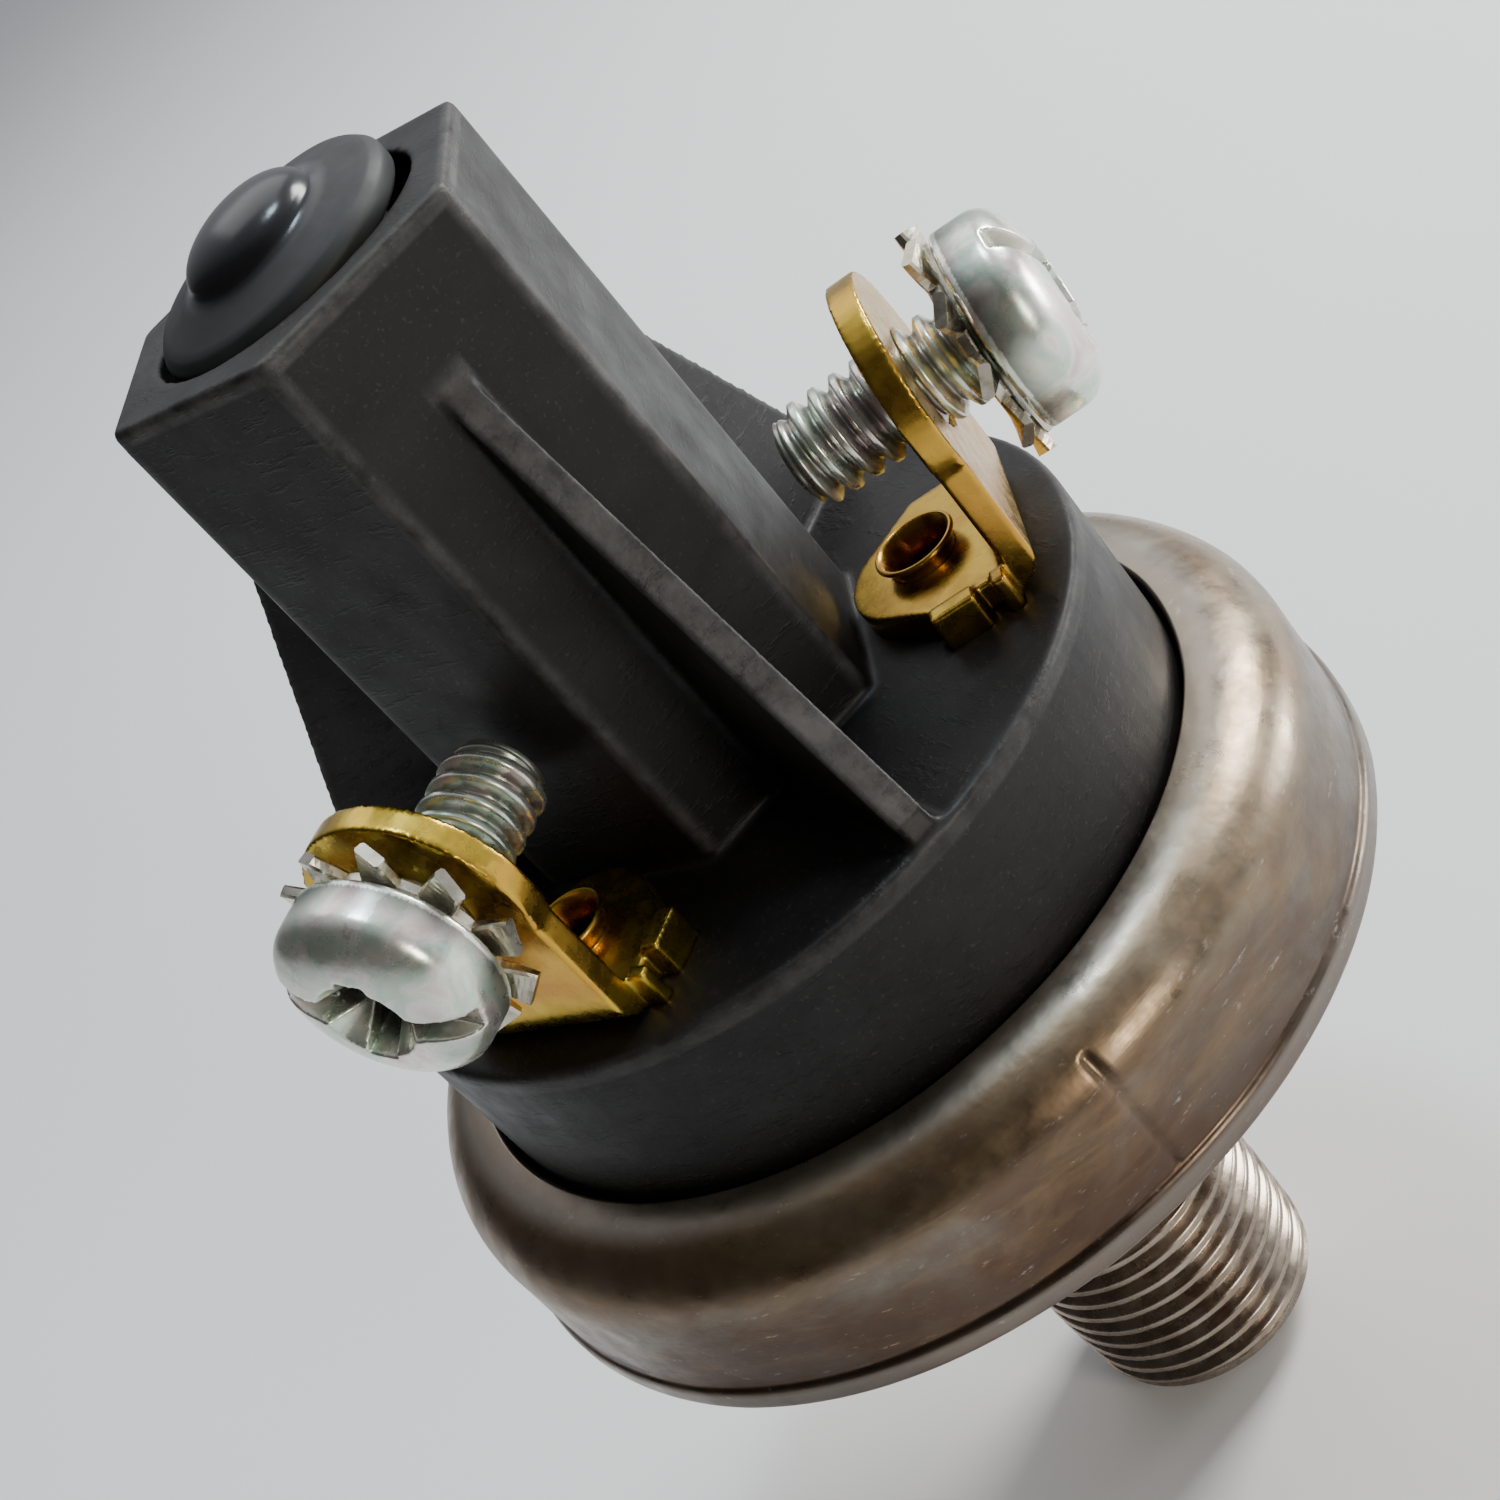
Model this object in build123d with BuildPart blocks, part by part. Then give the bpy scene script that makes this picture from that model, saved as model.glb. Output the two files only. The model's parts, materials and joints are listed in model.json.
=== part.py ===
"""Adjustable diaphragm pressure switch with a threaded port and two screw terminals.

Millimetres. +Z runs up the switch axis and Z = 0 is the open end of the port. A hexagonal tower
stands on a round base. Three of its faces carry a gusset, and two of the other three have a terminal.
"""

import os
from math import cos, radians, sin, tan

from build123d import *

os.makedirs("parts", exist_ok=True)

INCH = 25.4

# Port: 1/8-27 NPT thread, 9/16 in wrench hexagon, round flange inside the shell
THREAD_PITCH = INCH / 27
THREAD_TIP_R = 4.993
THREAD_FULL_R = 5.1435
THREAD_DEPTH = 0.62
THREAD_FLAT = 0.16
THREAD_START = 1.15
THREAD_TURNS = 10
TIP_R = 4.0
PORT_BORE_R = 2.0
NECK_R = 4.4
HEX_AF = 9 / 16 * INCH
HEX_BOTTOM = 13.4
HEX_TOP = 20.6
COLLAR_R = 8.4
FLANGE_R = 16.8
FLANGE_T = 2.2
CHAMBER_R = 11.5
CHAMBER_DEPTH = 0.9

# Shell: pressed steel, rolled in over the housing at the top and turned under the flange
SHELL_BOTTOM = 21.9
SHELL_T = 1.0
SHELL_R = 18.0
BEAD_R = 18.2
BEAD_TOP = SHELL_BOTTOM + 1.05
SHELL_HOLE_R = 11.0
LIP_R = 15.05
LIP_TOP = 29.05
SHELL_STRAIGHT_TOP = 26.4

# Sealing stack between the flange and the housing
FLANGE_BOTTOM = SHELL_BOTTOM + SHELL_T
FLANGE_TOP = FLANGE_BOTTOM + FLANGE_T
GASKET_T = 0.8
DIAPHRAGM_T = 0.5
SEAL_R = 16.6
GASKET_IN_R = 12.6
HOUSING_BOTTOM = FLANGE_TOP + GASKET_T + DIAPHRAGM_T

# Housing: round base and hexagonal tower
BASE_R = 14.55
RIM_R = 16.5
FLOOR = 35.3
FLOOR_T = 2.5
CAVITY_R = 12.6
TOWER_AF = 0.5 * INCH
TOWER_TOP = 56.6
TOWER_TAPER = 0.2
TOWER_BORE_R = 4.4
FIN_T = 1.1
FIN_TOP = 52.6
FIN_FOOT_R = 14.3
FIN_AZIMUTHS = (-90, 30, 150)
CEILING = FLOOR - FLOOR_T

# Adjuster: brass insert, 5/16-24 screw, two spring seats and the range spring
INSERT_BOTTOM = 45.6
INSERT_TOP = 52.0
INSERT_R = 5.4
ADJUSTER_R = 5 / 16 * INCH / 2
ADJUSTER_PITCH = INCH / 24
RUNNING = 0.04
ADJUSTER_BOTTOM = 45.55
ADJUSTER_TOP = 51.8
NOSE_R = 2.0
NOSE_LEN = 0.9
ACCESS_R = 4.15
SPRING_SEAT_R = 4.2
UPPER_SEAT_BOTTOM = 44.0
SPRING_R = 3.2
SPRING_WIRE_R = 0.5
SPRING_COILS = 7

# Plug: rests at a slight angle in a round recess over the adjuster
RECESS_R = 4.95
RECESS_DEPTH = 1.6
PLUG_R = 4.65
PLUG_T = 0.9
PLUG_TILT = 8
PLUG_HIGH_AZIMUTH = 30
PLUG_SEAT = TOWER_TOP - 0.2
NIPPLE_R = 2.5
NIPPLE_H = 1.5

# Pressure piston and its pusher
PISTON_R = CAVITY_R - 0.08
PISTON_FACE_R = 10.6
PISTON_BOTTOM = HOUSING_BOTTOM + 0.05
PISTON_TOP = 27.9
LOWER_SEAT_TOP = 29.2
PUSHER_R = 1.0
PUSHER_TOP = 30.5

# Contacts under the housing floor
CONTACT_Y = -6.5
BLADE_T = 0.4
BUTTON_R = 1.1
ARM_BOTTOM = 30.6
ARM_T = 0.3
ARM_ROOT_X = 6.0
PUSHER_X = 2.0

# Terminals: riveted angle bracket, 6-32 pan-head screw backed off a little, external-tooth lock washer
SIDES = {"right": (-30, -1), "left": (-150, 1)}
EYELET_REACH = 9.7
EYELET_R = 1.2
EYELET_IN_R = 0.9
EYELET_RIM_R = 1.5
EYELET_TOP = 37.0
STRIP_T = 1.0
EYE_R = 4.0
LEG_HALF_W = 3.7
FOOT_END_R = 2.8
LUGS = ((10.2, 1.6), (11.9, 0.5))
LUG_OUT = 0.75
UPRIGHT_IN = 12.2
SCREW_Z = 41.6
SCREW_R = 0.138 * INCH / 2
SCREW_PITCH = INCH / 32
SCREW_LEN = 7.4
WIRE_GAPS = {"right": 1.5, "left": 0.4}
LOCK_R = 4.06
LOCK_T = 0.95
LOCK_STRIP = 0.5
HEAD_R = 3.55
HEAD_RIM = 1.3
HEAD_H = 2.7


def radial_plane(azimuth, height=0.0):
    """Plane through the switch axis: local x points outward, local y points up."""
    a = radians(azimuth)
    return Plane(origin=(0, 0, height), x_dir=(cos(a), sin(a), 0), z_dir=(sin(a), -cos(a), 0))


def level_plane(azimuth, height):
    """Horizontal plane whose local x points outward along one bay."""
    a = radians(azimuth)
    return Plane(origin=(0, 0, height), x_dir=(cos(a), sin(a), 0), z_dir=(0, 0, 1))


def facing_plane(azimuth, reach, height):
    """Plane square to one bay's outward direction: local x points up."""
    a = radians(azimuth)
    origin = (reach * cos(a), reach * sin(a), height)
    return Plane(origin=origin, x_dir=(0, 0, 1), z_dir=(cos(a), sin(a), 0))


def outward_axis(azimuth, height):
    """Axis of a terminal screw, pointing outward."""
    a = radians(azimuth)
    return Axis((0, 0, height), (cos(a), sin(a), 0))


def lug_places(hand):
    """Centres of the two lugs on the front edge of a bracket foot."""
    return [(reach, hand * (LEG_HALF_W + LUG_OUT / 2 - 0.1)) for reach, _ in LUGS]


def thread_points(start, pitch, turns, crest, depth, flat):
    """Outline of annular thread grooves: crest(position) gives the crest radius."""
    points = []
    for turn in range(turns):
        root = start + turn * pitch
        tip = root + pitch / 2
        points += [(crest(tip) - depth, root - flat / 2), (crest(tip) - depth, root + flat / 2)]
        points += [(crest(tip), tip - flat / 2), (crest(tip), tip + flat / 2)]
    return points


def npt_crest(z):
    """Crest radius of the port thread: one in thirty-two taper up to the full radius."""
    return min(THREAD_TIP_R + z / 32, THREAD_FULL_R)


# ---------------------------------------------------------------- port fitting
with BuildPart() as port_fitting:
    with BuildSketch(Plane.XZ):
        with BuildLine():
            Polyline(
                (PORT_BORE_R, 0.5),
                (PORT_BORE_R + 0.5, 0),
                (TIP_R, 0),
                (TIP_R + 0.4, 0.5),
                *thread_points(THREAD_START, THREAD_PITCH, THREAD_TURNS, npt_crest, THREAD_DEPTH, THREAD_FLAT),
                (NECK_R, THREAD_START + THREAD_PITCH * THREAD_TURNS),
                (NECK_R, HEX_BOTTOM),
                (HEX_AF / 2 - 0.3, HEX_BOTTOM),
                (HEX_AF / 2 - 0.3, HEX_TOP),
                (COLLAR_R, HEX_TOP),
                (COLLAR_R, FLANGE_BOTTOM),
                (FLANGE_R, FLANGE_BOTTOM),
                (FLANGE_R, FLANGE_TOP),
                (CHAMBER_R, FLANGE_TOP),
                (CHAMBER_R, FLANGE_TOP - CHAMBER_DEPTH),
                (PORT_BORE_R, FLANGE_TOP - CHAMBER_DEPTH),
                close=True,
            )
        make_face()
    revolve(axis=Axis.Z)
    with BuildSketch(Plane.XY.offset(HEX_BOTTOM)):
        RegularPolygon(HEX_AF / 2, 6, major_radius=False)
        Circle(HEX_AF / 2 - 0.4, mode=Mode.SUBTRACT)
    extrude(amount=HEX_TOP - HEX_BOTTOM)
    with BuildSketch(Plane.XZ):
        with BuildLine():
            Polyline(
                (HEX_AF / 2, HEX_BOTTOM),
                (HEX_AF / 2 + 2, HEX_BOTTOM),
                (HEX_AF / 2 + 2, HEX_BOTTOM + 2 * tan(radians(30))),
                close=True,
            )
        make_face()
    revolve(axis=Axis.Z, mode=Mode.SUBTRACT)
port_fitting.part.label = "port_fitting"
export_step(port_fitting.part, "parts/port_fitting.step")

# ---------------------------------------------------------------- clamp shell
with BuildPart() as clamp_shell:
    with BuildSketch(Plane.XZ):
        with BuildLine():
            Polyline(
                (LIP_R, LIP_TOP - SHELL_T),
                (LIP_R, LIP_TOP),
            )
            EllipticalCenterArc(
                (LIP_R, SHELL_STRAIGHT_TOP), SHELL_R - LIP_R, LIP_TOP - SHELL_STRAIGHT_TOP, arc_size=90
            )
            Polyline(
                (SHELL_R, SHELL_STRAIGHT_TOP),
                (SHELL_R, BEAD_TOP + 0.2),
                (BEAD_R, BEAD_TOP),
                (BEAD_R, SHELL_BOTTOM + 0.35),
                (BEAD_R - 0.35, SHELL_BOTTOM),
                (SHELL_HOLE_R, SHELL_BOTTOM),
                (SHELL_HOLE_R, FLANGE_BOTTOM),
                (SHELL_R - SHELL_T, FLANGE_BOTTOM),
                (SHELL_R - SHELL_T, SHELL_STRAIGHT_TOP),
            )
            EllipticalCenterArc(
                (LIP_R, SHELL_STRAIGHT_TOP),
                SHELL_R - LIP_R - SHELL_T,
                LIP_TOP - SHELL_STRAIGHT_TOP - SHELL_T,
                arc_size=90,
            )
        make_face()
    revolve(axis=Axis.Z)
    fillet(clamp_shell.edges().filter_by_position(Axis.Z, LIP_TOP - 0.01, LIP_TOP + 0.01), 0.3)
clamp_shell.part.label = "clamp_shell"
export_step(clamp_shell.part, "parts/clamp_shell.step")

# ---------------------------------------------------------------- sealing ring
with BuildPart() as sealing_ring:
    with BuildSketch(Plane.XY.offset(FLANGE_TOP)):
        Circle(SEAL_R)
        Circle(GASKET_IN_R, mode=Mode.SUBTRACT)
    extrude(amount=GASKET_T)
sealing_ring.part.label = "sealing_ring"
export_step(sealing_ring.part, "parts/sealing_ring.step")

# ---------------------------------------------------------------- diaphragm
DIAPHRAGM_BOTTOM = HOUSING_BOTTOM - DIAPHRAGM_T
ROLL_R = 11.8
with BuildPart() as diaphragm:
    with BuildSketch(Plane.XZ):
        with BuildLine():
            Polyline((ROLL_R - 0.75, DIAPHRAGM_BOTTOM), (0, DIAPHRAGM_BOTTOM), (0, HOUSING_BOTTOM))
            Line((0, HOUSING_BOTTOM), (ROLL_R - 0.6, HOUSING_BOTTOM))
            ThreePointArc(
                (ROLL_R - 0.6, HOUSING_BOTTOM), (ROLL_R, HOUSING_BOTTOM - 0.5), (ROLL_R + 0.6, HOUSING_BOTTOM)
            )
            Polyline(
                (ROLL_R + 0.6, HOUSING_BOTTOM),
                (SEAL_R, HOUSING_BOTTOM),
                (SEAL_R, DIAPHRAGM_BOTTOM),
                (ROLL_R + 0.75, DIAPHRAGM_BOTTOM),
            )
            ThreePointArc(
                (ROLL_R + 0.75, DIAPHRAGM_BOTTOM), (ROLL_R, DIAPHRAGM_BOTTOM - 0.55), (ROLL_R - 0.75, DIAPHRAGM_BOTTOM)
            )
        make_face()
    revolve(axis=Axis.Z)
diaphragm.part.label = "diaphragm"
export_step(diaphragm.part, "parts/diaphragm.step")

# ---------------------------------------------------------------- housing
with BuildPart() as housing:
    with BuildSketch(Plane.XZ):
        with BuildLine():
            Polyline(
                (CAVITY_R, HOUSING_BOTTOM),
                (RIM_R, HOUSING_BOTTOM),
                (RIM_R, HOUSING_BOTTOM + 0.5),
                (LIP_R + 0.15, LIP_TOP - SHELL_T - 0.05),
                (BASE_R, LIP_TOP - SHELL_T - 0.05),
                (BASE_R, FLOOR),
                (0, FLOOR),
                (0, CEILING),
                (CAVITY_R, CEILING),
                close=True,
            )
        make_face()
    revolve(axis=Axis.Z)
    fillet(housing.edges().filter_by_position(Axis.Z, FLOOR - 0.01, FLOOR + 0.01), 0.3)
    with BuildSketch(Plane.XY.offset(TOWER_TOP)):
        RegularPolygon(TOWER_AF / 2, 6, major_radius=False)
        fillet(vertices(), 0.35)
    extrude(amount=FLOOR - TOWER_TOP, taper=-TOWER_TAPER)
    chamfer(housing.edges().group_by(Axis.Z)[-1], 0.15)
    for azimuth in FIN_AZIMUTHS:
        with BuildSketch(radial_plane(azimuth)):
            Polygon(
                (4.6, FLOOR - 0.5),
                (FIN_FOOT_R, FLOOR - 0.5),
                (FIN_FOOT_R, FLOOR),
                (TOWER_AF / 2 - 0.1, FIN_TOP),
                (4.6, FIN_TOP),
                align=None,
            )
        extrude(amount=FIN_T / 2, both=True)
    with BuildSketch(Plane.XY.offset(CEILING)):
        Circle(TOWER_BORE_R)
    extrude(amount=INSERT_BOTTOM - CEILING, mode=Mode.SUBTRACT)
    with BuildSketch(Plane.XY.offset(INSERT_BOTTOM)):
        Circle(INSERT_R)
    extrude(amount=INSERT_TOP - INSERT_BOTTOM, mode=Mode.SUBTRACT)
    with BuildSketch(Plane.XY.offset(INSERT_TOP)):
        Circle(ACCESS_R)
    extrude(amount=TOWER_TOP - INSERT_TOP, mode=Mode.SUBTRACT)
    with BuildSketch(Plane.XY.offset(TOWER_TOP - RECESS_DEPTH)):
        Circle(RECESS_R)
    extrude(amount=RECESS_DEPTH, mode=Mode.SUBTRACT)
    for azimuth, hand in SIDES.values():
        with BuildSketch(level_plane(azimuth, CEILING)):
            with Locations((EYELET_REACH, 0)):
                Circle(EYELET_R)
        extrude(amount=FLOOR_T, mode=Mode.SUBTRACT)
        with BuildSketch(level_plane(azimuth, FLOOR - 0.5)):
            for place, (_, width) in zip(lug_places(hand), LUGS):
                with Locations(place):
                    Rectangle(width, LUG_OUT)
        extrude(amount=0.5, mode=Mode.SUBTRACT)
housing.part.label = "housing"
export_step(housing.part, "parts/housing.step")

# ---------------------------------------------------------------- adjuster insert
with BuildPart() as adjuster_insert:
    with BuildSketch(Plane.XY.offset(INSERT_BOTTOM)):
        Circle(INSERT_R)
        Circle(ADJUSTER_R + RUNNING, mode=Mode.SUBTRACT)
        with PolarLocations(INSERT_R, 20):
            Circle(0.2, mode=Mode.SUBTRACT)
    extrude(amount=INSERT_TOP - INSERT_BOTTOM)
adjuster_insert.part.label = "adjuster_insert"
export_step(adjuster_insert.part, "parts/adjuster_insert.step")

# ---------------------------------------------------------------- adjusting screw
with BuildPart() as adjusting_screw:
    with BuildSketch(Plane.XZ):
        with BuildLine():
            Polyline(
                (0, ADJUSTER_BOTTOM - NOSE_LEN),
                (NOSE_R, ADJUSTER_BOTTOM - NOSE_LEN),
                (NOSE_R, ADJUSTER_BOTTOM),
                (ADJUSTER_R - 0.5, ADJUSTER_BOTTOM),
                *thread_points(
                    ADJUSTER_BOTTOM + 0.4, ADJUSTER_PITCH, 5, lambda z: ADJUSTER_R, 0.45, 0.2
                ),
                (ADJUSTER_R - 0.45, ADJUSTER_TOP - 0.35),
                (ADJUSTER_R - 0.45, ADJUSTER_TOP),
                (0, ADJUSTER_TOP),
                close=True,
            )
        make_face()
    revolve(axis=Axis.Z)
    with BuildSketch(Plane.XY.offset(ADJUSTER_TOP)):
        Rectangle(2 * ADJUSTER_R, 1.2)
    extrude(amount=-1.6, mode=Mode.SUBTRACT)
adjusting_screw.part.label = "adjusting_screw"
export_step(adjusting_screw.part, "parts/adjusting_screw.step")

# ---------------------------------------------------------------- upper spring seat
with BuildPart() as upper_spring_seat:
    with BuildSketch(Plane.XY.offset(UPPER_SEAT_BOTTOM)):
        Circle(SPRING_SEAT_R)
    extrude(amount=1.5)
    with BuildSketch(Plane.XY.offset(UPPER_SEAT_BOTTOM)):
        Circle(SPRING_R - SPRING_WIRE_R - 0.15)
    extrude(amount=-1.2)
    with BuildSketch(Plane.XY.offset(UPPER_SEAT_BOTTOM + 1.5)):
        Circle(NOSE_R + RUNNING)
    extrude(amount=-0.9, mode=Mode.SUBTRACT)
upper_spring_seat.part.label = "upper_spring_seat"
export_step(upper_spring_seat.part, "parts/upper_spring_seat.step")

# ---------------------------------------------------------------- range spring
SPRING_BOTTOM = LOWER_SEAT_TOP + SPRING_WIRE_R + 0.02
SPRING_HEIGHT = UPPER_SEAT_BOTTOM - LOWER_SEAT_TOP - 2 * SPRING_WIRE_R - 0.04
with BuildPart() as range_spring:
    with BuildLine():
        coil = Helix(SPRING_HEIGHT / SPRING_COILS, SPRING_HEIGHT, SPRING_R, center=(0, 0, SPRING_BOTTOM))
    with BuildSketch(Plane(origin=coil @ 0, z_dir=coil % 0)):
        Circle(SPRING_WIRE_R)
    sweep(is_frenet=True)
range_spring.part.label = "range_spring"
export_step(range_spring.part, "parts/range_spring.step")

# ---------------------------------------------------------------- lower spring seat
with BuildPart() as lower_spring_seat:
    with BuildSketch(Plane.XY.offset(PISTON_TOP)):
        Circle(SPRING_SEAT_R)
    extrude(amount=LOWER_SEAT_TOP - PISTON_TOP)
    with BuildSketch(Plane.XY.offset(LOWER_SEAT_TOP)):
        Circle(SPRING_R - SPRING_WIRE_R - 0.15)
    extrude(amount=1.2)
lower_spring_seat.part.label = "lower_spring_seat"
export_step(lower_spring_seat.part, "parts/lower_spring_seat.step")

# ---------------------------------------------------------------- pressure piston
with BuildPart() as pressure_piston:
    with BuildSketch(Plane.XZ):
        with BuildLine():
            Polyline(
                (0, PISTON_BOTTOM),
                (PISTON_FACE_R, PISTON_BOTTOM),
                (PISTON_R, PISTON_BOTTOM + 0.5),
                (PISTON_R, PISTON_TOP - 0.2),
                (PISTON_R - 0.2, PISTON_TOP),
                (0, PISTON_TOP),
                close=True,
            )
        make_face()
    revolve(axis=Axis.Z)
    with BuildSketch(Plane.XY.offset(PISTON_TOP)):
        with Locations((PUSHER_X, CONTACT_Y)):
            Circle(PUSHER_R)
    extrude(amount=-0.8, mode=Mode.SUBTRACT)
pressure_piston.part.label = "pressure_piston"
export_step(pressure_piston.part, "parts/pressure_piston.step")

# ---------------------------------------------------------------- contact pusher
with BuildPart() as contact_pusher:
    with BuildSketch(Plane.XY.offset(PISTON_TOP - 0.8)):
        with Locations((PUSHER_X, CONTACT_Y)):
            Circle(PUSHER_R)
    extrude(amount=PUSHER_TOP - PISTON_TOP + 0.8)
    fillet(contact_pusher.edges().group_by(Axis.Z)[-1], 0.4)
contact_pusher.part.label = "contact_pusher"
export_step(contact_pusher.part, "parts/contact_pusher.step")

# ---------------------------------------------------------------- contacts
EYELETS = {
    side: (EYELET_REACH * cos(radians(azimuth)), EYELET_REACH * sin(radians(azimuth)))
    for side, (azimuth, _) in SIDES.items()
}

with BuildPart() as fixed_contact_blade:
    with BuildSketch(Plane.XY.offset(CEILING - BLADE_T)):
        with Locations(EYELETS["left"]):
            Circle(2.3)
        with Locations((0, CONTACT_Y)):
            Circle(1.5)
        make_hull()
        with Locations(EYELETS["left"]):
            Circle(EYELET_R, mode=Mode.SUBTRACT)
    extrude(amount=BLADE_T)
fixed_contact_blade.part.label = "fixed_contact_blade"
export_step(fixed_contact_blade.part, "parts/fixed_contact_blade.step")

with BuildPart() as fixed_contact_button:
    with BuildSketch(Plane.XY.offset(CEILING - BLADE_T)):
        with Locations((0, CONTACT_Y)):
            Circle(BUTTON_R)
    extrude(amount=-0.6)
    fillet(fixed_contact_button.edges().group_by(Axis.Z)[0], 0.15)
fixed_contact_button.part.label = "fixed_contact_button"
export_step(fixed_contact_button.part, "parts/fixed_contact_button.step")

ANCHOR_X = ARM_ROOT_X + 0.1
with BuildPart() as contact_anchor:
    with BuildSketch(Plane.XY.offset(CEILING - BLADE_T)):
        with Locations(EYELETS["right"]):
            Circle(2.3)
            Circle(EYELET_R, mode=Mode.SUBTRACT)
        with Locations((ANCHOR_X + 0.6, CONTACT_Y)):
            Rectangle(1.2, 3.0)
    extrude(amount=BLADE_T)
    with BuildSketch(Plane.XY.offset(ARM_BOTTOM)):
        with Locations((ANCHOR_X + BLADE_T / 2, CONTACT_Y)):
            Rectangle(BLADE_T, 3.0)
    extrude(amount=CEILING - ARM_BOTTOM)
contact_anchor.part.label = "contact_anchor"
export_step(contact_anchor.part, "parts/contact_anchor.step")

with BuildPart() as moving_contact_arm:
    with BuildSketch(Plane.XY.offset(ARM_BOTTOM)):
        with Locations((ARM_ROOT_X - 0.1, CONTACT_Y)):
            Rectangle(0.2, 3.0)
        with Locations((0, CONTACT_Y)):
            Circle(1.4)
        make_hull()
    extrude(amount=ARM_T)
moving_contact_arm.part.label = "moving_contact_arm"
export_step(moving_contact_arm.part, "parts/moving_contact_arm.step")

with BuildPart() as moving_contact_button:
    with BuildSketch(Plane.XY.offset(ARM_BOTTOM + ARM_T)):
        with Locations((0, CONTACT_Y)):
            Circle(BUTTON_R)
    extrude(amount=0.4)
    fillet(moving_contact_button.edges().group_by(Axis.Z)[-1], 0.15)
moving_contact_button.part.label = "moving_contact_button"
export_step(moving_contact_button.part, "parts/moving_contact_button.step")

# ---------------------------------------------------------------- plug
with BuildPart() as upright_plug:
    with BuildSketch(Plane.XZ):
        with BuildLine():
            Polyline(
                (0.4, PLUG_T + 0.25 + NIPPLE_H),
                (0, PLUG_T + 0.25 + NIPPLE_H),
                (0, -2.0),
                (3.1, -2.0),
                (3.3, -1.7),
                (3.3, 0),
                (PLUG_R, 0),
                (PLUG_R, PLUG_T - 0.2),
                (PLUG_R - 0.2, PLUG_T),
                (NIPPLE_R, PLUG_T + 0.25),
            )
            ThreePointArc(
                (NIPPLE_R, PLUG_T + 0.25),
                (NIPPLE_R * 0.76, PLUG_T + 0.25 + NIPPLE_H * 0.7),
                (0.4, PLUG_T + 0.25 + NIPPLE_H),
            )
        make_face()
    revolve(axis=Axis.Z)

with BuildPart() as plug_cap:
    with Locations(Location((0, 0, PLUG_SEAT), (0, 0, 1), PLUG_HIGH_AZIMUTH) * Rotation(0, -PLUG_TILT, 0)):
        add(upright_plug.part)
plug_cap.part.label = "plug_cap"
export_step(plug_cap.part, "parts/plug_cap.step")

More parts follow.
